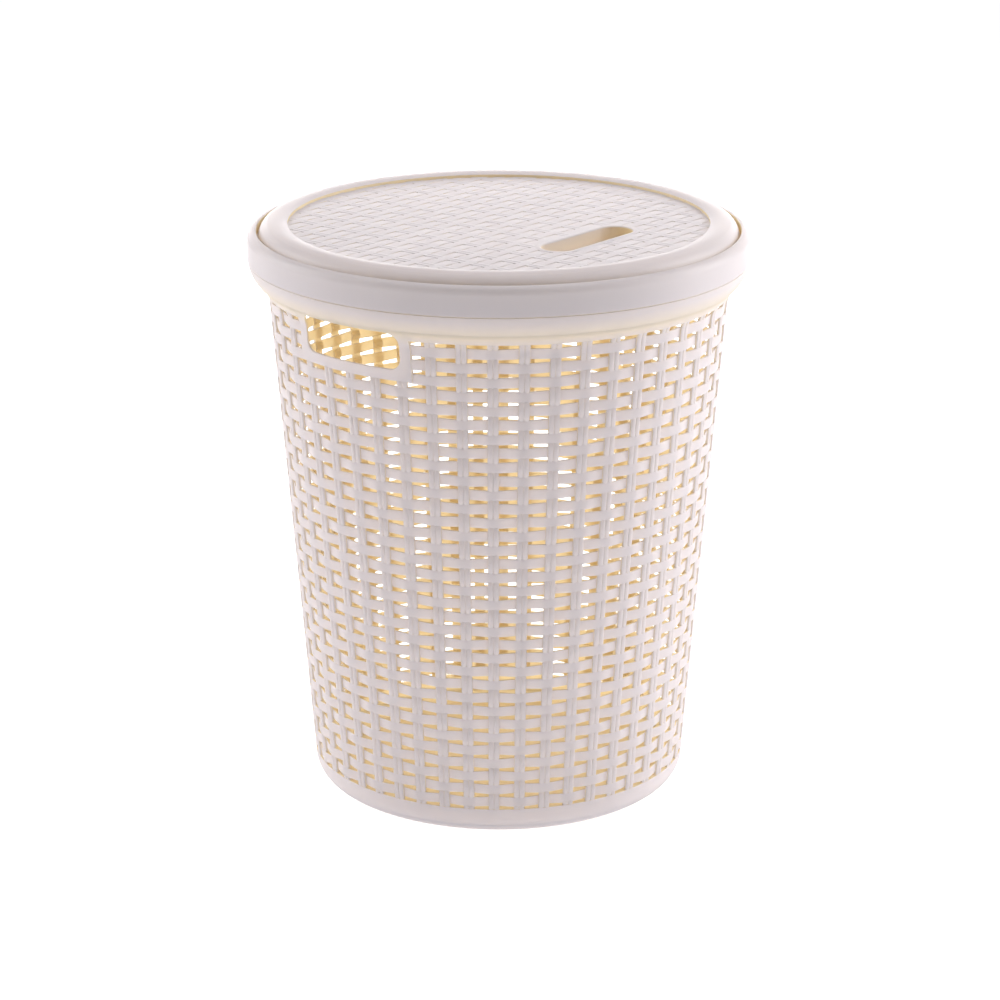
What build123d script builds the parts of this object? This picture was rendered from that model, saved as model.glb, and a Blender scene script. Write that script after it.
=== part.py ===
from build123d import *

import os
from math import cos, radians, sin

# Round laundry hamper with a hinged lid, millimetres.
# +Z is up and the origin is the middle of the underside.  -Y is the front, where the hand slot
# of the lid is; the two carrying handles are at -X and +X; the lid is hinged at +Y.

# ---- basket skin: a straight cone that flares out under the collar ----
CONE_RADIUS = 170.3         # outer radius of the cone carried down to the floor
CONE_GROWTH = 0.0804        # outer radius gained per mm of height
SKIN = 2.6                  # thickness of the moulded skin
CORNER = 22.0               # height and reach of the rounded bottom corner
FLARE_FOOT = 457.0          # height where the flare starts
FLARE_MIDDLE = (216.2, 475.5)
FLARE_TOP = (225.8, 494.8)
RIM_STEP = 2.4              # the rim steps in by this much to pass inside the collar
RIM_TOP = 508.0

# ---- floor of the basket ----
FOOT_INNER = 145.0
FLOOR_LOW = 3.0
FLOOR_HIGH = 5.6
HOOP_LOW = 10.0             # the rounded corner is one node below this height, the hoop above it

# ---- woven part of the wall ----
WEAVE_LOW = 27.2
WEAVE_HIGH = 467.0
STAKES = 48                 # upright double cords round the wall
STAKE_ANGLE = 2.6           # degrees round the axis that each one takes
STAKE_STANDS = 0.6          # how far they stand out of the strands between them

# ---- carrying handles ----
HANDLE_WIDTH = 105.0
HANDLE_LOW = 439.2
HANDLE_HIGH = 473.5
HANDLE_LOW_CORNER = 10.0
HANDLE_HIGH_CORNER = 4.0
HANDLE_BORDER = 10.0        # plain strip beside and below the opening
HANDLE_BORDER_TOP = 3.5
HANDLE_EDGE = 0.8           # rounding of the opening's edges

# ---- collar: a separate ring that snaps over the rim ----
COLLAR_RADIUS = 226.0
COLLAR_WALL = 2.2
COLLAR_LOW = 495.2
COLLAR_BEND = 7.4           # radius of its rounded top
COLLAR_HIGH = 521.2
COLLAR_INNER = 217.4        # inner wall that faces the lid's edge
COLLAR_LIP = 0.9            # rounding of the top's inner edge
SEAM_EDGE = 0.6             # rounding of the two edges that meet at the seam below the collar
LEDGE_HIGH = 513.0          # the lid's edge sits just above this ledge
LEDGE_INNER = 204.4
LEDGE_SKIRT_LOW = 500.0

# ---- lid ----
LID_GAP = 0.3
PANEL_RADIUS = 189.5
PANEL_HIGH = 524.6
PANEL = 2.4
BORDER_WALL = 2.2
BORDER_RADIUS = 215.4
BORDER_CROWN = (198.5, 528.8)
BORDER_SHOULDER = (207.5, 527.2)
BORDER_INNER_HIGH = 526.9
BORDER_BEND_LOW = 517.5

# ---- hand slot of the lid ----
SLOT_LENGTH = 112.0
SLOT_WIDTH = 32.0
SLOT_Y = -100.0
SLOT_LIP = 2.2
SLOT_EDGE = 1.2
SLOT_LIP_LOW = 510.5

# ---- hinge ----
HINGE_Y = 216.2
HINGE_Z = 519.8
BARREL_RADIUS = 2.8
BARREL_HALF = 12.0
STUB_RADIUS = 1.50
BORE_RADIUS = 1.57
STUB_END = 18.5
EAR_START = 12.4
EAR_END = 20.0
SWEEP_GAP = 0.5             # air between the hinge pieces and what turns past them
ARM_FRONT = 206.0
ARM_LOW = 517.8
ARM_HIGH = 521.8
BRACKET_HALF = 24.0
BRACKET_BACK = 221.5
BRACKET_HIGH = 520.6

HINGE_PLANE = Plane(origin=(0, HINGE_Y, HINGE_Z), x_dir=(0, 1, 0), z_dir=(1, 0, 0))


def cone_radius(height):
    """Outer radius of the straight part of the wall at a height."""
    return CONE_RADIUS + CONE_GROWTH * height


def opening_edges(builder):
    """The long edges of a handle opening, on the skin's outside and inside."""
    half_width = HANDLE_WIDTH / 2 + 0.1
    found = []
    for edge in builder.edges():
        middle = edge.position_at(0.5)
        start = edge.position_at(0)
        end = edge.position_at(1)
        inside = all(
            abs(point.Y) < half_width and HANDLE_LOW - 0.1 < point.Z < HANDLE_HIGH + 0.1
            for point in (start, middle, end)
        )
        runs_through = abs(start.X - end.X) > SKIN / 2 and abs(start.Y - end.Y) < 0.01
        if inside and not runs_through:
            found.append(edge)
    return found


def finish(builder, name):
    """Label a finished piece and write it out."""
    builder.part.label = name
    export_step(builder.part, f"parts/{name}.step")


os.makedirs("parts", exist_ok=True)

# ---- tools that are cut away or shared, not pieces of the hamper ----

with BuildPart() as skin:
    # the whole moulded skin, from the foot to the rim that hides inside the collar
    corner_centre = (cone_radius(CORNER) - CORNER, CORNER)
    corner_middle = (
        corner_centre[0] + CORNER * cos(radians(-45)),
        corner_centre[1] + CORNER * sin(radians(-45)),
    )
    inner_bend = CORNER - SKIN
    inner_middle = (
        corner_centre[0] + inner_bend * cos(radians(-45)),
        corner_centre[1] + inner_bend * sin(radians(-45)),
    )
    with BuildSketch(Plane.XZ):
        with BuildLine():
            outer_corner = ThreePointArc(
                (corner_centre[0], 0), corner_middle, (cone_radius(CORNER), CORNER)
            )
            outer_wall = Line(outer_corner @ 1, (cone_radius(FLARE_FOOT), FLARE_FOOT))
            outer_hollow = TangentArc(outer_wall @ 1, FLARE_MIDDLE, tangent=outer_wall % 1)
            TangentArc(FLARE_MIDDLE, FLARE_TOP, tangent=outer_hollow % 1)
            Polyline(
                FLARE_TOP,
                (FLARE_TOP[0] - RIM_STEP, FLARE_TOP[1]),
                (FLARE_TOP[0] - RIM_STEP, RIM_TOP),
                (FLARE_TOP[0] - RIM_STEP - SKIN, RIM_TOP),
                (FLARE_TOP[0] - RIM_STEP - SKIN, FLARE_TOP[1] - RIM_STEP),
            )
            inner_wall = Line(
                (cone_radius(CORNER) - SKIN, CORNER),
                (cone_radius(FLARE_FOOT) - SKIN, FLARE_FOOT),
            )
            inner_hollow = TangentArc(
                inner_wall @ 1, (FLARE_MIDDLE[0] - SKIN, FLARE_MIDDLE[1]), tangent=inner_wall % 1
            )
            Line(inner_hollow @ 1, (FLARE_TOP[0] - RIM_STEP - SKIN, FLARE_TOP[1] - RIM_STEP))
            ThreePointArc(
                (corner_centre[0], SKIN), inner_middle, (cone_radius(CORNER) - SKIN, CORNER)
            )
            Line((corner_centre[0], 0), (corner_centre[0], SKIN))
        make_face()
    revolve(axis=Axis.Z)

with BuildPart() as handle_zone:
    # the plain patches round both handle openings, right across the hamper
    patch_low = HANDLE_LOW - HANDLE_BORDER
    patch_high = HANDLE_HIGH + HANDLE_BORDER_TOP
    with BuildSketch(Plane.YZ):
        with Locations((0, (patch_low + patch_high) / 2)):
            Rectangle(HANDLE_WIDTH + 2 * HANDLE_BORDER, patch_high - patch_low)
    extrude(amount=COLLAR_RADIUS, both=True)

with BuildPart() as handle_opening:
    # both openings, cut straight through along X
    with BuildSketch(Plane.YZ) as opening_outline:
        with Locations((0, (HANDLE_LOW + HANDLE_HIGH) / 2)):
            Rectangle(HANDLE_WIDTH, HANDLE_HIGH - HANDLE_LOW)
        fillet(opening_outline.vertices().group_by(Axis.Z)[0], HANDLE_LOW_CORNER)
        fillet(opening_outline.vertices().group_by(Axis.Z)[-1], HANDLE_HIGH_CORNER)
    extrude(amount=COLLAR_RADIUS, both=True)

with BuildPart() as panel_between_stakes:
    # a shallow sheet on the outside of the wall, from one stake to the next
    with BuildSketch(Plane.XZ.rotated((0, 0, STAKE_ANGLE / 2))):
        with BuildLine():
            Polyline(
                (cone_radius(WEAVE_LOW) - STAKE_STANDS, WEAVE_LOW),
                (cone_radius(WEAVE_LOW) + 1, WEAVE_LOW),
                (cone_radius(FLARE_FOOT) + 1, FLARE_FOOT),
                (cone_radius(FLARE_FOOT) - STAKE_STANDS, FLARE_FOOT),
                close=True,
            )
        make_face()
    revolve(axis=Axis.Z, revolution_arc=360 / STAKES - STAKE_ANGLE)

with BuildPart() as hinge_pocket:
    # the stretch of the collar's top that the hinge bracket takes the place of
    with BuildSketch(Plane.XY.offset(LEDGE_HIGH)):
        with Locations((0, (COLLAR_INNER + BRACKET_BACK) / 2 - 2)):
            Rectangle(2 * BRACKET_HALF, BRACKET_BACK - COLLAR_INNER + 4)
    extrude(amount=COLLAR_HIGH - LEDGE_HIGH + 1)

# ---- basket ----

with BuildPart() as base_floor:
    with BuildSketch(Plane.XY.offset(FLOOR_LOW)):
        Circle(FOOT_INNER)
    extrude(amount=FLOOR_HIGH - FLOOR_LOW)
finish(base_floor, "base_floor")

with BuildPart() as foot_ring:
    with BuildSketch(Plane.XY):
        Circle(corner_centre[0])
        Circle(FOOT_INNER, mode=Mode.SUBTRACT)
    extrude(amount=FLOOR_HIGH)
finish(foot_ring, "foot_ring")

with BuildPart() as base_corner:
    add(skin.part)
    split(bisect_by=Plane.XY.offset(HOOP_LOW), keep=Keep.BOTTOM)
finish(base_corner, "base_corner")

with BuildPart() as base_hoop:
    add(skin.part)
    split(bisect_by=Plane.XY.offset(HOOP_LOW), keep=Keep.TOP)
    split(bisect_by=Plane.XY.offset(WEAVE_LOW), keep=Keep.BOTTOM)
finish(base_hoop, "base_hoop")

with BuildPart() as woven_wall:
    add(skin.part)
    split(bisect_by=Plane.XY.offset(WEAVE_LOW), keep=Keep.TOP)
    split(bisect_by=Plane.XY.offset(WEAVE_HIGH), keep=Keep.BOTTOM)
    with PolarLocations(0, STAKES):
        add(panel_between_stakes.part, mode=Mode.SUBTRACT)
    add(handle_zone.part, mode=Mode.SUBTRACT)
finish(woven_wall, "woven_wall")

for side, kept in (("front", Keep.TOP), ("back", Keep.BOTTOM)):
    # the plain strip above the weave, from one handle to the other
    with BuildPart() as band_foot:
        add(skin.part)
        split(bisect_by=Plane.XY.offset(WEAVE_HIGH), keep=Keep.TOP)
        split(bisect_by=Plane.XY.offset(patch_high), keep=Keep.BOTTOM)
        split(bisect_by=Plane.XZ, keep=kept)
        add(handle_zone.part, mode=Mode.SUBTRACT)
    finish(band_foot, f"band_foot_{side}")

with BuildPart() as top_band:
    add(skin.part)
    split(bisect_by=Plane.XY.offset(patch_high), keep=Keep.TOP)
    shoulder = top_band.edges().filter_by(GeomType.CIRCLE).sort_by(SortBy.RADIUS)[-1]
    fillet(shoulder, SEAM_EDGE)
finish(top_band, "top_band")

for side, kept in (("left", Keep.BOTTOM), ("right", Keep.TOP)):
    with BuildPart() as handle_frame:
        add(skin.part)
        add(handle_zone.part, mode=Mode.INTERSECT)
        split(bisect_by=Plane.YZ, keep=kept)
        add(handle_opening.part, mode=Mode.SUBTRACT)
        fillet(opening_edges(handle_frame), HANDLE_EDGE)
    finish(handle_frame, f"handle_frame_{side}")

with BuildPart() as collar_ring:
    # outer wall, rounded top and inner wall of the collar, open below for the basket's rim
    bend_radius = COLLAR_RADIUS - COLLAR_BEND
    bend_height = COLLAR_HIGH - COLLAR_BEND
    hidden_bend = COLLAR_BEND - COLLAR_WALL
    with BuildSketch(Plane.XZ):
        with BuildLine():
            Line((COLLAR_RADIUS, COLLAR_LOW), (COLLAR_RADIUS, bend_height))
            CenterArc((bend_radius, bend_height), COLLAR_BEND, 0, 90)
            Polyline(
                (bend_radius, COLLAR_HIGH),
                (COLLAR_INNER, COLLAR_HIGH),
                (COLLAR_INNER, LEDGE_HIGH - COLLAR_WALL),
                (bend_radius, LEDGE_HIGH - COLLAR_WALL),
                (bend_radius, bend_height + hidden_bend),
            )
            CenterArc((bend_radius, bend_height), hidden_bend, 0, 90)
            Polyline(
                (COLLAR_RADIUS - COLLAR_WALL, bend_height),
                (COLLAR_RADIUS - COLLAR_WALL, COLLAR_LOW),
                (COLLAR_RADIUS, COLLAR_LOW),
            )
        make_face()
    revolve(axis=Axis.Z)
    rims = collar_ring.edges().filter_by(GeomType.CIRCLE)
    fillet(rims.group_by(Axis.Z)[-1].sort_by(SortBy.RADIUS)[0], COLLAR_LIP)
    rims = collar_ring.edges().filter_by(GeomType.CIRCLE)
    fillet(rims.group_by(Axis.Z)[0].sort_by(SortBy.RADIUS)[-1], SEAM_EDGE)
    add(hinge_pocket.part, mode=Mode.SUBTRACT)
finish(collar_ring, "collar_ring")

with BuildPart() as collar_ledge:
    with BuildSketch(Plane.XZ):
        with BuildLine():
            Polyline(
                (COLLAR_INNER, LEDGE_HIGH),
                (LEDGE_INNER, LEDGE_HIGH),
                (LEDGE_INNER, LEDGE_SKIRT_LOW),
                (LEDGE_INNER + COLLAR_WALL, LEDGE_SKIRT_LOW),
                (LEDGE_INNER + COLLAR_WALL, LEDGE_HIGH - COLLAR_WALL),
                (COLLAR_INNER, LEDGE_HIGH - COLLAR_WALL),
                close=True,
            )
        make_face()
    revolve(axis=Axis.Z)
finish(collar_ledge, "collar_ledge")

with BuildPart() as hinge_bracket:
    # a block let into the collar, with two ears in front of it that hold the lid's stub pins
    with BuildSketch(Plane.XY.offset(LEDGE_HIGH)):
        with Locations((0, (COLLAR_INNER + BRACKET_BACK) / 2)):
            Rectangle(2 * BRACKET_HALF, BRACKET_BACK - COLLAR_INNER)
        ear_middle = (EAR_START + EAR_END) / 2
        with Locations((-ear_middle, HINGE_Y + 1), (ear_middle, HINGE_Y + 1)):
            Rectangle(EAR_END - EAR_START, 2)
    extrude(amount=HINGE_Z - LEDGE_HIGH)
    with BuildSketch(Plane.XY.offset(HINGE_Z)):
        with Locations((0, (COLLAR_INNER + BRACKET_BACK) / 2)):
            Rectangle(2 * BRACKET_HALF, BRACKET_BACK - COLLAR_INNER)
    extrude(amount=BRACKET_HIGH - HINGE_Z)
    with BuildSketch(HINGE_PLANE):
        Circle(BARREL_RADIUS)
    extrude(amount=EAR_END, both=True)
    with BuildSketch(HINGE_PLANE):
        Circle(BARREL_RADIUS + SWEEP_GAP)
    extrude(amount=EAR_START, both=True, mode=Mode.SUBTRACT)
    with BuildSketch(HINGE_PLANE):
        Circle(BORE_RADIUS)
    extrude(amount=EAR_END, both=True, mode=Mode.SUBTRACT)
finish(hinge_bracket, "hinge_bracket")

# ---- lid ----

with BuildPart() as slot_lip:
    with BuildSketch(Plane.XY.offset(SLOT_LIP_LOW)):
        with Locations((0, SLOT_Y)):
            SlotOverall(SLOT_LENGTH + 2 * SLOT_LIP, SLOT_WIDTH + 2 * SLOT_LIP)
            SlotOverall(SLOT_LENGTH, SLOT_WIDTH, mode=Mode.SUBTRACT)
    extrude(amount=PANEL_HIGH - SLOT_LIP_LOW)
    mouth = slot_lip.faces().sort_by(Axis.Z)[-1].inner_wires()[0]
    fillet(mouth.edges(), SLOT_EDGE)
finish(slot_lip, "slot_lip")

with BuildPart() as lid_panel:
    with BuildSketch(Plane.XY.offset(PANEL_HIGH - PANEL)):
        Circle(PANEL_RADIUS)
        with Locations((0, SLOT_Y)):
            SlotOverall(SLOT_LENGTH + 2 * SLOT_LIP, SLOT_WIDTH + 2 * SLOT_LIP, mode=Mode.SUBTRACT)
    extrude(amount=PANEL)
finish(lid_panel, "lid_panel")

with BuildPart() as lid_border:
    # a rounded, hollow bead: inner wall, crown and an outer wall that drops to the ledge
    border_low = LEDGE_HIGH + LID_GAP
    with BuildSketch(Plane.XZ):
        with BuildLine():
            crown = ThreePointArc((PANEL_RADIUS, BORDER_INNER_HIGH), BORDER_CROWN, BORDER_SHOULDER)
            TangentArc(BORDER_SHOULDER, (BORDER_RADIUS, BORDER_BEND_LOW), tangent=crown % 1)
            Polyline(
                (BORDER_RADIUS, BORDER_BEND_LOW),
                (BORDER_RADIUS, border_low),
                (BORDER_RADIUS - BORDER_WALL, border_low),
                (BORDER_RADIUS - BORDER_WALL, BORDER_BEND_LOW),
            )
            hidden_crown = ThreePointArc(
                (PANEL_RADIUS + BORDER_WALL, BORDER_INNER_HIGH - BORDER_WALL),
                (BORDER_CROWN[0], BORDER_CROWN[1] - BORDER_WALL),
                (BORDER_SHOULDER[0] - BORDER_WALL / 2, BORDER_SHOULDER[1] - BORDER_WALL),
            )
            TangentArc(
                hidden_crown @ 1,
                (BORDER_RADIUS - BORDER_WALL, BORDER_BEND_LOW),
                tangent=hidden_crown % 1,
            )
            Polyline(
                (PANEL_RADIUS + BORDER_WALL, BORDER_INNER_HIGH - BORDER_WALL),
                (PANEL_RADIUS + BORDER_WALL, PANEL_HIGH - PANEL),
                (PANEL_RADIUS, PANEL_HIGH - PANEL),
                (PANEL_RADIUS, BORDER_INNER_HIGH),
            )
        make_face()
    revolve(axis=Axis.Z)
    # room for the ears, then the slot that the hinge arm passes through
    with BuildSketch(HINGE_PLANE):
        Circle(BARREL_RADIUS + SWEEP_GAP)
    extrude(amount=EAR_END + SWEEP_GAP, both=True, mode=Mode.SUBTRACT)
    with BuildSketch(Plane.XY.offset(ARM_LOW)):
        with Locations((0, (ARM_FRONT + HINGE_Y) / 2)):
            Rectangle(2 * BARREL_HALF, HINGE_Y - ARM_FRONT)
    extrude(amount=ARM_HIGH - ARM_LOW, mode=Mode.SUBTRACT)
finish(lid_border, "lid_border")

with BuildPart() as hinge_arm:
    with BuildSketch(Plane.XY.offset(ARM_LOW)):
        with Locations((0, (ARM_FRONT + HINGE_Y) / 2)):
            Rectangle(2 * BARREL_HALF, HINGE_Y - ARM_FRONT)
    extrude(amount=ARM_HIGH - ARM_LOW)
    with BuildSketch(HINGE_PLANE):
        Circle(BARREL_RADIUS)
    extrude(amount=BARREL_HALF, both=True)
    with BuildSketch(HINGE_PLANE):
        Circle(STUB_RADIUS)
    extrude(amount=STUB_END, both=True)
finish(hinge_arm, "hinge_arm")
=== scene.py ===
from math import cos, pi, radians, sin, sqrt

import bmesh
import bpy
import numpy as np
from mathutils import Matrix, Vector


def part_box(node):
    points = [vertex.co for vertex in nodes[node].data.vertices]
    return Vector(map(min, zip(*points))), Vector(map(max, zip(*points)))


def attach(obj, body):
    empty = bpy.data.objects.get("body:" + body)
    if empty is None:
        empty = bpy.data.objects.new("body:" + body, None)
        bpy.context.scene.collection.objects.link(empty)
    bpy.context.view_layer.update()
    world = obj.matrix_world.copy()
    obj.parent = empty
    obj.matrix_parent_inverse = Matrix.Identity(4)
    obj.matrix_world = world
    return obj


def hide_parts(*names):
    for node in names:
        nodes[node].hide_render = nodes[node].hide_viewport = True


# Round laundry hamper with a hinged lid, in metres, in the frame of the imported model: +Z is up,
# -Y is the front with the lid's hand slot, the handles are at -X and +X, the hinge is at +Y.

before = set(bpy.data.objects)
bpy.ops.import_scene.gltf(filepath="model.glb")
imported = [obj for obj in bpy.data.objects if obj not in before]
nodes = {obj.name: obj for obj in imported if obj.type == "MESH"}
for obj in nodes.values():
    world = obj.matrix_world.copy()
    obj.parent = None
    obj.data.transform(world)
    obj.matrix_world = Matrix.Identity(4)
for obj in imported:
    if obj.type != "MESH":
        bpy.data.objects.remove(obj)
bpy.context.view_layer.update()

# ---- outline of the wall, the same as the frame's ----
CONE_RADIUS = 0.1703        # outer radius of the cone carried down to the floor
CONE_GROWTH = 0.0804        # outer radius gained per metre of height
FLARE_FOOT = 0.457          # height where the wall starts to bend outwards
FLARE_BEND = 0.0279         # radius of that bend

# ---- weave of the wall ----
WEAVE_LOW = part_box("woven_wall")[0].z
WEAVE_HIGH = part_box("woven_wall")[1].z
STAKES = 48                 # upright stakes, each of two cords side by side
PITCH = 2 * pi / STAKES
ROWS = 34                   # level strands
SLIT = 0.0034               # height of the slits between them
ROW_PITCH = (WEAVE_HIGH - WEAVE_LOW - SLIT) / ROWS
STRAND = ROW_PITCH - SLIT
ROW_DROP = 0.0008           # how much lower the rows lie than an even share of the height
ROW_ZERO = WEAVE_LOW + SLIT + STRAND / 2 - ROW_DROP     # height of the middle of row 0
CORD = 0.0048               # spacing of the two cords of a stake
CORD_WIDTH = 1.04 * CORD    # a little more, so that they meet
DIVE = 0.0020               # how far a strand drops to pass behind a stake
CORD_DIVE = DIVE * 0.9      # and a cord, to pass behind a strand
BURY = 0.0025               # how far bars run into the plain parts they end in
HOOP_BITE = 0.0004          # height above the hoop at which the cords start to sink into it
SINK = 0.5                  # how fast they sink, for each metre further
UNDER_HANDLE = 2            # stakes to each side of a handle's middle that end below it

# ---- handles ----
PATCH_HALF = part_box("handle_frame_left")[1].y
PATCH_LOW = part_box("handle_frame_left")[0].z

# ---- lid ----
PANEL_LOW, PANEL_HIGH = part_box("lid_panel")
LID_PITCH = 0.02665         # spacing of the lid's stakes, along X
LID_ROW = 0.0129            # spacing of the lid's strands, along Y
LID_ROW_ZERO = 0.0025       # Y of the strand that is counted as row 0
LID_DIVE = 0.0003           # how far a strand of the lid drops behind a stake
LID_RELIEF = 0.0005         # depth of the lid's pattern down to the plain sheet
LIP_LOW, LIP_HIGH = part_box("slot_lip")
SLOT_Y = (LIP_LOW.y + LIP_HIGH.y) / 2
SLOT_LIP = (LIP_HIGH.y - LIP_LOW.y) / 2             # from the slot's middle line to its rim
SLOT_STRAIGHT = (LIP_HIGH.x - LIP_LOW.x) / 2 - SLOT_LIP
SLOT_BORDER = SLOT_LIP + 0.0038                     # and to the outside of its plain border
SLOT_BORDER_TOP = SLOT_BORDER - 0.0008              # and to where the border's top is level
PATTERN_RADIUS = PANEL_HIGH.x + 0.0008              # the pattern runs a little under the bead

# Sections of the bars as (across, depth) in metres, the outside face first.
STRAND_SECTION = np.array([
    (-0.500, -0.22), (-0.485, -0.09), (-0.44, -0.03), (-0.25, 0.0), (0.25, 0.0),
    (0.44, -0.03), (0.485, -0.09), (0.500, -0.22), (0.500, -0.80), (0.46, -1.0), (-0.46, -1.0),
    (-0.500, -0.80),
]) * (STRAND, 0.0024)
CORD_SECTION = np.array([
    (-0.50, -0.34), (-0.43, -0.15), (-0.25, -0.03), (0.0, 0.0),
    (0.25, -0.03), (0.43, -0.15), (0.50, -0.34), (0.50, -1.0), (-0.50, -1.0),
]) * (CORD_WIDTH, 0.0026)
LID_STRAND_SECTION = STRAND_SECTION * (1, 0.5)
LID_CORD_SECTION = CORD_SECTION * (1, 0.4)


def smooth_step(t):
    """0 up to t = 0, 1 from t = 1, and a smooth climb between."""
    t = np.clip(t, 0, 1)
    return t * t * (3 - 2 * t)


def wall_radius(z):
    """Outer radius of the wall at heights z: a cone, then a bend outwards near the top."""
    slant = sqrt(1 + CONE_GROWTH**2)
    centre_r = CONE_RADIUS + CONE_GROWTH * FLARE_FOOT + FLARE_BEND / slant
    centre_z = FLARE_FOOT - FLARE_BEND * CONE_GROWTH / slant
    bend = centre_r - np.sqrt(np.maximum(FLARE_BEND**2 - (z - centre_z) ** 2, 0))
    return np.where(z > FLARE_FOOT, bend, CONE_RADIUS + CONE_GROWTH * z)


def on_wall(angle, z, level):
    """Points of the wall, level being how far outside its outline they are."""
    angle, z, level = np.broadcast_arrays(angle, z, level)
    radius = wall_radius(z) + level
    return np.stack([radius * np.cos(angle), radius * np.sin(angle), z], axis=-1)


def strand_level(position, row, flat, dive):
    """Level of a strand at positions counted in stakes: 0 in front of every other stake, -dive
    behind the ones between, and a slope from each to the next."""
    away = np.abs((position - row + 1) % 2 - 1)
    slope = np.clip((away - flat) / (1 - 2 * flat), 0, 1)
    return -dive * (slope + smooth_step(slope)) / 2


def strand_stations(first, last, flat):
    """Positions along a strand, counted in stakes, that show its bends."""
    cell = np.concatenate([[0], np.linspace(flat, 1 - flat, 9)])
    return np.append((np.arange(first, last)[:, None] + cell).ravel(), last)


def cord_level(position, stake, rows, dive):
    """Level of a cord at positions counted in rows: 0, but sunk where a strand is in front."""
    row = np.round(position)
    behind = ((stake + row) % 2 == 0) & (row >= rows[0]) & (row <= rows[1])
    return np.where(behind, -dive * cord_bend(np.abs(position - row)), 0.0)


def cord_bend(distance):
    """How much of its dive a cord has made at a distance from the middle of a row, in rows."""
    return np.interp(distance, (0.14, 0.20, 0.26, 0.31), (1, 0.7, 0.25, 0))


def cord_stations(stake, rows):
    """Positions along a cord, counted in rows, that show where it dives behind strands."""
    bends = np.array((-0.31, -0.26, -0.20, -0.14, 0.14, 0.20, 0.26, 0.31))
    behind = [row for row in range(rows[0], rows[1] + 1) if (stake + row) % 2 == 0]
    return (np.array(behind)[:, None] + bends).ravel()


def placed(name, mesh):
    """An object in the scene with this mesh, smooth but for its sharp edges."""
    mesh.shade_smooth()
    mesh.set_sharp_from_angle(angle=radians(40))
    piece = bpy.data.objects.new(name, mesh)
    bpy.context.scene.collection.objects.link(piece)
    return piece


def woven_object(name, bars):
    """One object from closed bars, each an array of rings of points. Rings that were pressed
    together at a bar's end become one."""
    points, faces, start = [], [], 0
    for rings in bars:
        count, around = rings.shape[:2]
        index = np.arange(count * around).reshape(count, around) + start
        turned = np.roll(index, -1, axis=1)
        inner_painted_glow = np.stack([index[:-1], index[1:], turned[1:], turned[:-1]], axis=-1)
        faces.extend(inner_painted_glow.reshape(-1, 4).tolist())
        faces.append(index[0].tolist())
        faces.append(index[-1][::-1].tolist())
        points.extend(rings.reshape(-1, 3).tolist())
        start += count * around
    mesh = bpy.data.meshes.new(name)
    mesh.from_pydata(points, [], faces)
    work = bmesh.new()
    work.from_mesh(mesh)
    bmesh.ops.remove_doubles(work, verts=work.verts, dist=1e-6)
    work.to_mesh(mesh)
    work.free()
    mesh.validate()
    return placed(name, mesh)


# ---- woven wall, as four pieces of a quarter each ----


def wall_strand(row, first, last, low_end=None, high_end=None):
    """A level strand between two stakes. An end given as an angle is let into a plain part."""
    z = ROW_ZERO + ROW_PITCH * row
    flat = CORD_WIDTH / wall_radius(z) / PITCH
    low = first if low_end is None else low_end / PITCH
    high = last if high_end is None else high_end / PITCH
    along = np.clip(strand_stations(first, last, flat), low, high)[:, None]
    level = strand_level(along, row, flat, DIVE)
    across, depth = STRAND_SECTION.T
    return on_wall(along * PITCH, z + across, level + depth)


def wall_cord(stake, side, high_end):
    """One of the two cords of a stake, from the hoop below up to a plain part."""
    across, depth = CORD_SECTION.T
    low_end = WEAVE_LOW - BURY
    stations = cord_stations(stake, (0, ROWS - 1)) * ROW_PITCH + ROW_ZERO
    bend = np.arange(FLARE_FOOT, WEAVE_HIGH, 0.002)
    ends = (low_end, WEAVE_LOW + HOOP_BITE, high_end - BURY, high_end)
    z = np.unique(np.concatenate([stations, bend, ends]))
    z = z[(z >= low_end) & (z <= high_end)][:, None]
    rows = (z - ROW_ZERO) / ROW_PITCH
    level = cord_level(rows, stake, (0, ROWS - 1), CORD_DIVE)
    level = level - SINK * np.maximum(0, WEAVE_LOW + HOOP_BITE - z)
    level = level - SINK * np.maximum(0, z - high_end + BURY)
    angle = stake * PITCH + (side * CORD / 2 - across) / wall_radius(z)
    return on_wall(angle, z, level + depth)


def woven_quarter(name, middle, has_handle):
    """A quarter of the wall round the stake numbered middle."""
    first, last = middle - STAKES // 8, middle + STAKES // 8
    bars = []
    for row in range(ROWS):
        z = ROW_ZERO + ROW_PITCH * row
        if has_handle and z > PATCH_LOW:
            reach = (PATCH_HALF - BURY) / wall_radius(z)
            below, above = middle - UNDER_HANDLE, middle + UNDER_HANDLE
            bars.append(wall_strand(row, first, below, high_end=middle * PITCH - reach))
            bars.append(wall_strand(row, above, last, low_end=middle * PITCH + reach))
        else:
            bars.append(wall_strand(row, first, last))
    for stake in range(first, last + 1):
        under_handle = has_handle and abs(stake - middle) <= UNDER_HANDLE
        high_end = (PATCH_LOW if under_handle else WEAVE_HIGH) + BURY
        for side in (-1, 1):
            if first < stake < last or (stake == first) == (side == 1):
                bars.append(wall_cord(stake, side, high_end))
    return woven_object(name, bars)


quarters = [
    woven_quarter("weave_right", 0, True),
    woven_quarter("weave_back", STAKES // 4, False),
    woven_quarter("weave_left", STAKES // 2, True),
    woven_quarter("weave_front", 3 * STAKES // 4, False),
]
for quarter in quarters:
    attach(quarter, "basket")
    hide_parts("woven_wall")

# ---- lid panel: a plain sheet with the weave standing on it in low relief ----


def half_chord(radius, offset):
    """Half the length of a circle's chord at an offset from its centre."""
    return np.sqrt(np.maximum(radius**2 - offset**2, 0))


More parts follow.
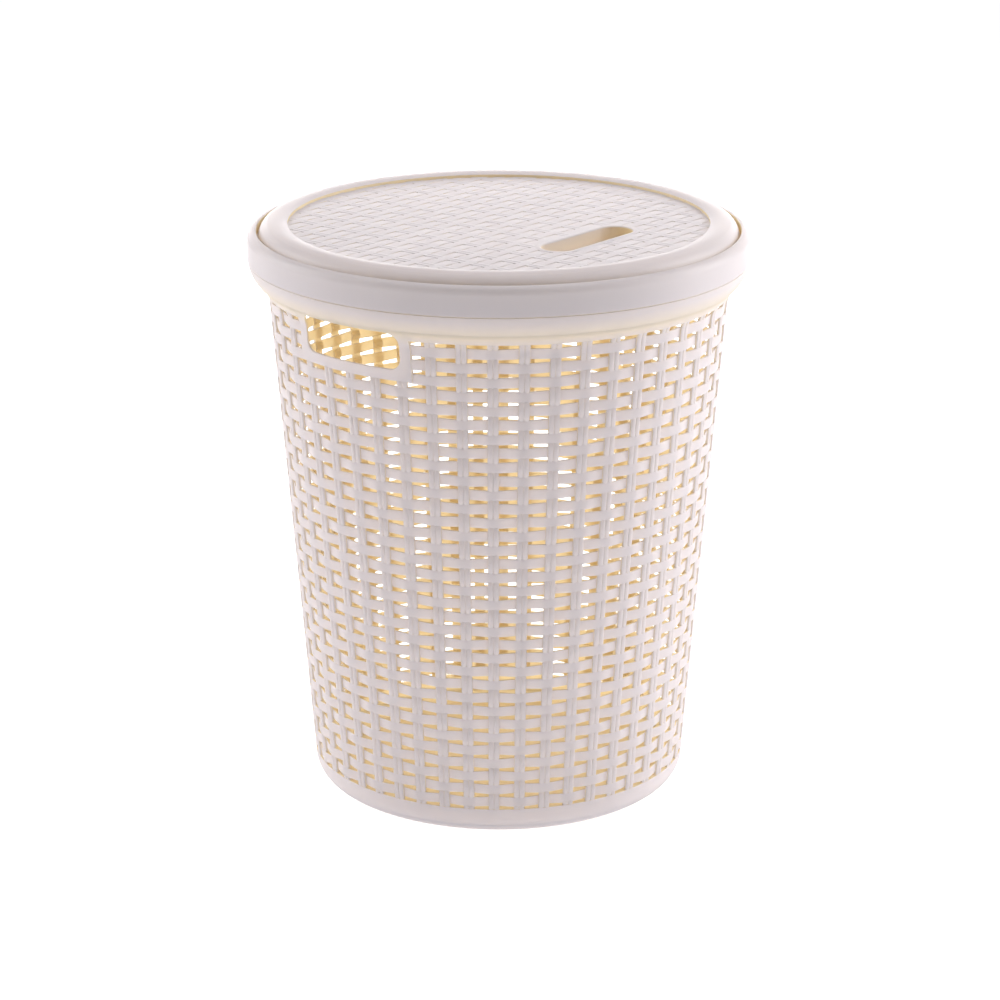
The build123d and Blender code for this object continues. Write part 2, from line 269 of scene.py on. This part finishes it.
def lid_bars(centre, section, stations, level, limits, lengthwise):
    """The stretches of one straight bar on the lid between its limits."""
    across, depth = section.T
    bars = []
    for low, high in limits(centre + across):
        along = np.clip(stations[:, None], low, high)
        beside = np.broadcast_to(centre + across, along.shape)
        height = PANEL_HIGH.z + level(along) + depth
        order = [along, beside, height] if lengthwise else [beside, along, height]
        rings = np.stack(order, axis=-1)
        bars.append(rings if lengthwise else rings[:, ::-1])
    return bars


def strand_limits(y):
    """The stretches of X, at each Y, that a strand may cover: it stops at the bead and at the
    slot's border."""
    edge = half_chord(PATTERN_RADIUS, y)
    if np.all(np.abs(y - SLOT_Y) < SLOT_BORDER_TOP):
        border = SLOT_STRAIGHT + half_chord(SLOT_BORDER_TOP, y - SLOT_Y)
        return [(-edge, -border), (border, edge)]
    return [(-edge, edge)]


def cord_limits(x):
    """The same for a cord, in Y at each X."""
    edge = half_chord(PATTERN_RADIUS, x)
    beyond = np.maximum(np.abs(x) - SLOT_STRAIGHT, 0)
    if np.all(beyond < SLOT_BORDER_TOP):
        border = half_chord(SLOT_BORDER_TOP, beyond)
        return [(-edge, SLOT_Y - border), (SLOT_Y + border, edge)]
    return [(-edge, edge)]


RAYS = np.arange(288) * 2 * pi / 288    # directions out from the middle of the slot


def obround(distance, height):
    """A ring of points at a distance from the slot's middle line, one on each ray."""
    across, up = np.abs(np.cos(RAYS)), np.abs(np.sin(RAYS))
    to_side = distance / np.maximum(up, 1e-9)
    to_end = SLOT_STRAIGHT * across + half_chord(distance, SLOT_STRAIGHT * up)
    reach = np.where(to_side * across < SLOT_STRAIGHT, to_side, to_end)
    return np.column_stack(
        [reach * np.cos(RAYS), reach * np.sin(RAYS) + SLOT_Y, np.full(len(RAYS), height)]
    )


def panel_edge(height):
    """A ring of points just inside the bead, one on each ray."""
    toward = SLOT_Y * np.sin(RAYS)
    reach = -toward + np.sqrt(toward**2 - SLOT_Y**2 + PATTERN_RADIUS**2)
    return np.column_stack(
        [reach * np.cos(RAYS), reach * np.sin(RAYS) + SLOT_Y, np.full(len(RAYS), height)]
    )


def lid_pattern():
    """The bars of the lid's pattern: strands along X and pairs of cords along Y."""
    reach = int(PANEL_HIGH.x / LID_PITCH) + 1
    rows = int(PANEL_HIGH.x / LID_ROW) + 1
    flat = CORD_WIDTH / LID_PITCH
    along_strand = strand_stations(-reach, reach, flat) * LID_PITCH
    bars = []
    for row in range(-rows, rows + 1):
        centre = LID_ROW_ZERO + LID_ROW * row
        if abs(centre) - STRAND / 2 < PANEL_HIGH.x:

            def level(x):
                return strand_level(x / LID_PITCH, row + 1, flat, LID_DIVE)

            bars += lid_bars(
                centre, LID_STRAND_SECTION, along_strand, level, strand_limits, True
            )
    for stake in range(-reach + 1, reach):
        along_cord = cord_stations(stake + 1, (-rows, rows)) * LID_ROW + LID_ROW_ZERO

        def level(y):
            return cord_level((y - LID_ROW_ZERO) / LID_ROW, stake + 1, (-rows, rows), LID_DIVE)

        for side in (-1, 1):
            centre = stake * LID_PITCH + side * CORD / 2
            bars += lid_bars(centre, LID_CORD_SECTION, along_cord, level, cord_limits, False)
    return bars


lid_weave = woven_object("lid_weave", lid_pattern())
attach(lid_weave, "lid")
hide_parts("lid_panel")


def loop_object(name, rings):
    """An object from rings of points joined into a closed tube."""
    index = np.arange(len(rings) * len(RAYS)).reshape(len(rings), len(RAYS))
    onward = np.roll(index, -1, axis=0)
    turned = np.roll(index, -1, axis=1)
    faces = np.stack([index, turned, np.roll(onward, -1, axis=1), onward], axis=-1)
    mesh = bpy.data.meshes.new(name)
    mesh.from_pydata(np.concatenate(rings).tolist(), [], faces.reshape(-1, 4).tolist())
    return placed(name, mesh)


sheet_top = PANEL_HIGH.z - LID_RELIEF
sheet = loop_object("lid_sheet", [
    obround(SLOT_LIP, sheet_top),
    panel_edge(sheet_top),
    panel_edge(PANEL_LOW.z),
    obround(SLOT_LIP, PANEL_LOW.z),
][::-1])
border = loop_object("slot_border", [
    obround(SLOT_LIP, PANEL_HIGH.z),
    obround(SLOT_BORDER_TOP, PANEL_HIGH.z),
    obround(SLOT_BORDER - 0.0002, PANEL_HIGH.z - 0.0002),
    obround(SLOT_BORDER, PANEL_HIGH.z - 0.0008),
    obround(SLOT_BORDER, sheet_top - 0.0003),
    obround(SLOT_LIP, sheet_top - 0.0003),
][::-1])
for piece in (sheet, border):
    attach(piece, "lid")
    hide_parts("lid_panel")

# ---- material ----


def ivory_plastic():
    """Satin moulded polypropylene: ivory, letting much light through; its inner side gets a painted
    warm glow, a yellower colour standing in for light that shines through the plastic.
    """
    material = bpy.data.materials.new("ivory_plastic")
    material.use_nodes = True
    tree = material.node_tree
    tree.nodes.clear()
    make = tree.nodes.new
    link = tree.links.new
    texture_place = make("ShaderNodeTexCoord")
    place = texture_place.outputs["Object"]

    # 1 on faces that look out of the hamper, 0 on those that look into it, which get a painted warm
    # glow in place of the light that shines through the plastic
    from_middle = make("ShaderNodeVectorMath")
    from_middle.operation = "SUBTRACT"
    from_middle.inputs[1].default_value = (0, 0, PANEL_HIGH.z / 2)
    link(place, from_middle.inputs[0])
    outwards = make("ShaderNodeVectorMath")
    outwards.operation = "NORMALIZE"
    link(from_middle.outputs["Vector"], outwards.inputs[0])
    facing = make("ShaderNodeVectorMath")
    facing.operation = "DOT_PRODUCT"
    link(outwards.outputs["Vector"], facing.inputs[0])
    link(texture_place.outputs["Normal"], facing.inputs[1])
    outer = make("ShaderNodeMapRange")
    outer.inputs["From Min"].default_value = -0.3
    outer.inputs["From Max"].default_value = 0.5
    link(facing.outputs["Value"], outer.inputs["Value"])

    def noise(scale, detail):
        node = make("ShaderNodeTexNoise")
        node.inputs["Scale"].default_value = scale
        node.inputs["Detail"].default_value = detail
        link(place, node.inputs["Vector"])
        return node.outputs["Fac"]

    tone = make("ShaderNodeValToRGB")
    tone.color_ramp.elements[0].position = 0.3
    tone.color_ramp.elements[0].color = (0.895, 0.872, 0.955, 1)
    tone.color_ramp.elements[1].position = 0.7
    tone.color_ramp.elements[1].color = (0.925, 0.902, 0.985, 1)
    link(noise(9, 3), tone.inputs["Fac"])

    rough = make("ShaderNodeMapRange")
    rough.inputs["To Min"].default_value = 0.36
    rough.inputs["To Max"].default_value = 0.50
    link(noise(60, 4), rough.inputs["Value"])

    bump = make("ShaderNodeBump")
    bump.inputs["Strength"].default_value = 0.06
    bump.inputs["Distance"].default_value = 0.0004
    link(noise(900, 3), bump.inputs["Height"])

    body = make("ShaderNodeBsdfPrincipled")
    body.inputs["IOR"].default_value = 1.49
    inner_painted_glow = make("ShaderNodeMix")
    inner_painted_glow.data_type = "RGBA"
    # painted warm light: this yellow on the inner faces, also passed on by the translucent part,
    # stands in for light shining through the walls; the plastic itself is one colour
    inner_painted_glow.inputs["A"].default_value = (0.98, 0.875, 0.65, 1)
    link(outer.outputs["Result"], inner_painted_glow.inputs["Factor"])
    link(tone.outputs["Color"], inner_painted_glow.inputs["B"])
    link(inner_painted_glow.outputs["Result"], body.inputs["Base Color"])
    link(rough.outputs["Result"], body.inputs["Roughness"])
    link(bump.outputs["Normal"], body.inputs["Normal"])
    through = make("ShaderNodeBsdfTranslucent")
    link(inner_painted_glow.outputs["Result"], through.inputs["Color"])
    mix = make("ShaderNodeMixShader")
    mix.inputs["Fac"].default_value = 0.46
    link(body.outputs["BSDF"], mix.inputs[1])
    link(through.outputs["BSDF"], mix.inputs[2])
    link(mix.outputs["Shader"], make("ShaderNodeOutputMaterial").inputs["Surface"])
    return material


plastic = ivory_plastic()
for piece in quarters + [lid_weave, sheet, border]:
    piece.data.materials.append(plastic)
for node in nodes.values():
    if not node.material_slots:
        node.data.materials.append(plastic)
    for slot in node.material_slots:
        slot.material = plastic

# ---- floor, light and camera ----


def pale_floor():
    """White paper that the camera sees a little brighter than it lights the hamper."""
    material = bpy.data.materials.new("pale_floor")
    material.use_nodes = True
    tree = material.node_tree
    shader = tree.nodes["Principled BSDF"]
    shader.inputs["Base Color"].default_value = (0.84, 0.84, 0.84, 1)
    shader.inputs["Roughness"].default_value = 0.9
    shader.inputs["Specular IOR Level"].default_value = 0.2
    shader.inputs["Emission Color"].default_value = (1, 1, 1, 1)
    glow = tree.nodes.new("ShaderNodeMapRange")
    glow.inputs["To Min"].default_value = 0.55
    glow.inputs["To Max"].default_value = 0.75
    sight = tree.nodes.new("ShaderNodeLightPath")
    tree.links.new(sight.outputs["Is Camera Ray"], glow.inputs["Value"])
    tree.links.new(glow.outputs["Result"], shader.inputs["Emission Strength"])
    return material


FLOOR_REACH = 30
floor_mesh = bpy.data.meshes.new("floor")
corners = [(-1, -1), (1, -1), (1, 1), (-1, 1)]
floor_mesh.from_pydata([(x * FLOOR_REACH, y * FLOOR_REACH, 0) for x, y in corners], [], [(0, 1, 2, 3)])
floor = bpy.data.objects.new("floor", floor_mesh)
floor.location.z = -0.0002      # just clear of the foot ring
floor_mesh.materials.append(pale_floor())
bpy.context.scene.collection.objects.link(floor)


def studio_world():
    """Even soft light from all round, behind which the camera sees plain white."""
    world = bpy.data.worlds.new("studio")
    world.use_nodes = True
    tree = world.node_tree
    link = tree.links.new
    soft = tree.nodes["Background"]
    soft.inputs["Color"].default_value = (1, 1, 1, 1)
    soft.inputs["Strength"].default_value = 0.3
    white = tree.nodes.new("ShaderNodeBackground")
    white.inputs["Strength"].default_value = 1.0
    choose = tree.nodes.new("ShaderNodeMixShader")
    link(tree.nodes.new("ShaderNodeLightPath").outputs["Is Camera Ray"], choose.inputs["Fac"])
    link(soft.outputs["Background"], choose.inputs[1])
    link(white.outputs["Background"], choose.inputs[2])
    link(choose.outputs["Shader"], tree.nodes["World Output"].inputs["Surface"])
    return world


bpy.context.scene.world = studio_world()
bpy.context.scene.view_settings.view_transform = "Standard"

AZIMUTH, ELEVATION, DISTANCE = radians(-51.1), radians(18), 3.0
target = Vector((0, 0, 0.2624))
back = Vector((sin(AZIMUTH) * cos(ELEVATION), -cos(AZIMUTH) * cos(ELEVATION), sin(ELEVATION)))
right = Vector((cos(AZIMUTH), sin(AZIMUTH), 0))
level_back = Vector((back.x, back.y, 0)).normalized()
MIDDLE = Vector((0, 0, 0.3))


def area_light(name, to_right, to_camera, up, size, power):
    """A softbox the camera doesn't see, placed from the middle of the hamper and aimed at it."""
    offset = right * to_right + level_back * to_camera + Vector((0, 0, up))
    light = bpy.data.lights.new(name, "AREA")
    light.shape = "RECTANGLE"
    light.size, light.size_y = size
    light.energy = power
    lamp = bpy.data.objects.new(name, light)
    lamp.location = MIDDLE + offset
    lamp.rotation_mode = "QUATERNION"
    lamp.rotation_quaternion = (-offset).to_track_quat("-Z", "Y")
    lamp.visible_camera = False
    bpy.context.scene.collection.objects.link(lamp)


area_light("softbox_left", -1.9, -0.7, 0.8, (1.2, 1.6), 26)
area_light("softbox_right", 1.9, -0.5, 0.8, (1.2, 1.6), 36)
area_light("softbox_back", 0, -2.2, 0.2, (2.4, 1.2), 52)
area_light("softbox_top", 0, -0.3, 1.9, (1.5, 1.5), 11)

camera_data = bpy.data.cameras.new("camera")
camera_data.lens = 117.09
camera_data.sensor_width = 36
camera_data.shift_x = 0.0012
camera_data.clip_end = 100
camera = bpy.data.objects.new("camera", camera_data)
camera.location = target + back * DISTANCE
camera.rotation_mode = "QUATERNION"
camera.rotation_quaternion = (-back).to_track_quat("-Z", "Y")
bpy.context.scene.collection.objects.link(camera)
bpy.context.scene.camera = camera
